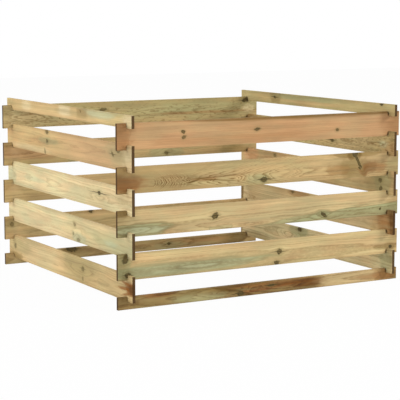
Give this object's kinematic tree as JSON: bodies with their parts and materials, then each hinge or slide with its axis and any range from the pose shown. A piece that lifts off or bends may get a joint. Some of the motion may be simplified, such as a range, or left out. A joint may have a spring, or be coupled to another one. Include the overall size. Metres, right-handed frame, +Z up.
{
  "type": "compost bin",
  "caption": "Open slatted compost bin of notched timber boards that slot together crosswise at the corners and lift off from the top.",
  "frame": {"origin": "centre of the footprint at ground level, under the base boards", "axes": "+X along the front boards, to the right seen from the front; +Y from front to back; +Z up"},
  "size_m": [1.225, 1.135, 0.69],
  "materials": {
    "treated_pine": "planed, pressure-treated, faintly green"
  },
  "bodies": {
    "base": {"front_base_board": "treated_pine", "back_base_board": "treated_pine"},
    "left_board_1": {"left_board_1": "treated_pine"},
    "right_board_1": {"right_board_1": "treated_pine"},
    "front_board_1": {"front_board_1": "treated_pine"},
    "back_board_1": {"back_board_1": "treated_pine"},
    "left_board_2": {"left_board_2": "treated_pine"},
    "right_board_2": {"right_board_2": "treated_pine"},
    "front_board_2": {"front_board_2": "treated_pine"},
    "back_board_2": {"back_board_2": "treated_pine"},
    "left_board_3": {"left_board_3": "treated_pine"},
    "right_board_3": {"right_board_3": "treated_pine"},
    "front_board_3": {"front_board_3": "treated_pine"},
    "back_board_3": {"back_board_3": "treated_pine"},
    "left_board_4": {"left_board_4": "treated_pine"},
    "right_board_4": {"right_board_4": "treated_pine"},
    "front_board_4": {"front_board_4": "treated_pine"},
    "back_board_4": {"back_board_4": "treated_pine"},
    "left_top_board": {"left_top_board": "treated_pine"},
    "right_top_board": {"right_top_board": "treated_pine"}
  },
  "joints": [
    {"name": "left_board_1_lift", "type": "slide", "parent": "base", "child": "left_board_1", "axis": [0, 0, 1], "range_m": [0, 0.04]},
    {"name": "right_board_1_lift", "type": "slide", "parent": "left_board_1", "child": "right_board_1", "axis": [0, 0, 1], "range_m": [0, 0.04]},
    {"name": "front_board_1_lift", "type": "slide", "parent": "right_board_1", "child": "front_board_1", "axis": [0, 0, 1], "range_m": [0, 0.04]},
    {"name": "back_board_1_lift", "type": "slide", "parent": "front_board_1", "child": "back_board_1", "axis": [0, 0, 1], "range_m": [0, 0.04]},
    {"name": "left_board_2_lift", "type": "slide", "parent": "back_board_1", "child": "left_board_2", "axis": [0, 0, 1], "range_m": [0, 0.04]},
    {"name": "right_board_2_lift", "type": "slide", "parent": "left_board_2", "child": "right_board_2", "axis": [0, 0, 1], "range_m": [0, 0.04]},
    {"name": "front_board_2_lift", "type": "slide", "parent": "right_board_2", "child": "front_board_2", "axis": [0, 0, 1], "range_m": [0, 0.04]},
    {"name": "back_board_2_lift", "type": "slide", "parent": "front_board_2", "child": "back_board_2", "axis": [0, 0, 1], "range_m": [0, 0.04]},
    {"name": "left_board_3_lift", "type": "slide", "parent": "back_board_2", "child": "left_board_3", "axis": [0, 0, 1], "range_m": [0, 0.04]},
    {"name": "right_board_3_lift", "type": "slide", "parent": "left_board_3", "child": "right_board_3", "axis": [0, 0, 1], "range_m": [0, 0.04]},
    {"name": "front_board_3_lift", "type": "slide", "parent": "right_board_3", "child": "front_board_3", "axis": [0, 0, 1], "range_m": [0, 0.04]},
    {"name": "back_board_3_lift", "type": "slide", "parent": "front_board_3", "child": "back_board_3", "axis": [0, 0, 1], "range_m": [0, 0.04]},
    {"name": "left_board_4_lift", "type": "slide", "parent": "back_board_3", "child": "left_board_4", "axis": [0, 0, 1], "range_m": [0, 0.04]},
    {"name": "right_board_4_lift", "type": "slide", "parent": "left_board_4", "child": "right_board_4", "axis": [0, 0, 1], "range_m": [0, 0.04]},
    {"name": "front_board_4_lift", "type": "slide", "parent": "right_board_4", "child": "front_board_4", "axis": [0, 0, 1], "range_m": [0, 0.04]},
    {"name": "back_board_4_lift", "type": "slide", "parent": "front_board_4", "child": "back_board_4", "axis": [0, 0, 1], "range_m": [0, 0.04]},
    {"name": "left_top_board_lift", "type": "slide", "parent": "back_board_4", "child": "left_top_board", "axis": [0, 0, 1], "range_m": [0, 0.04]},
    {"name": "right_top_board_lift", "type": "slide", "parent": "back_board_4", "child": "right_top_board", "axis": [0, 0, 1], "range_m": [0, 0.04]}
  ]
}
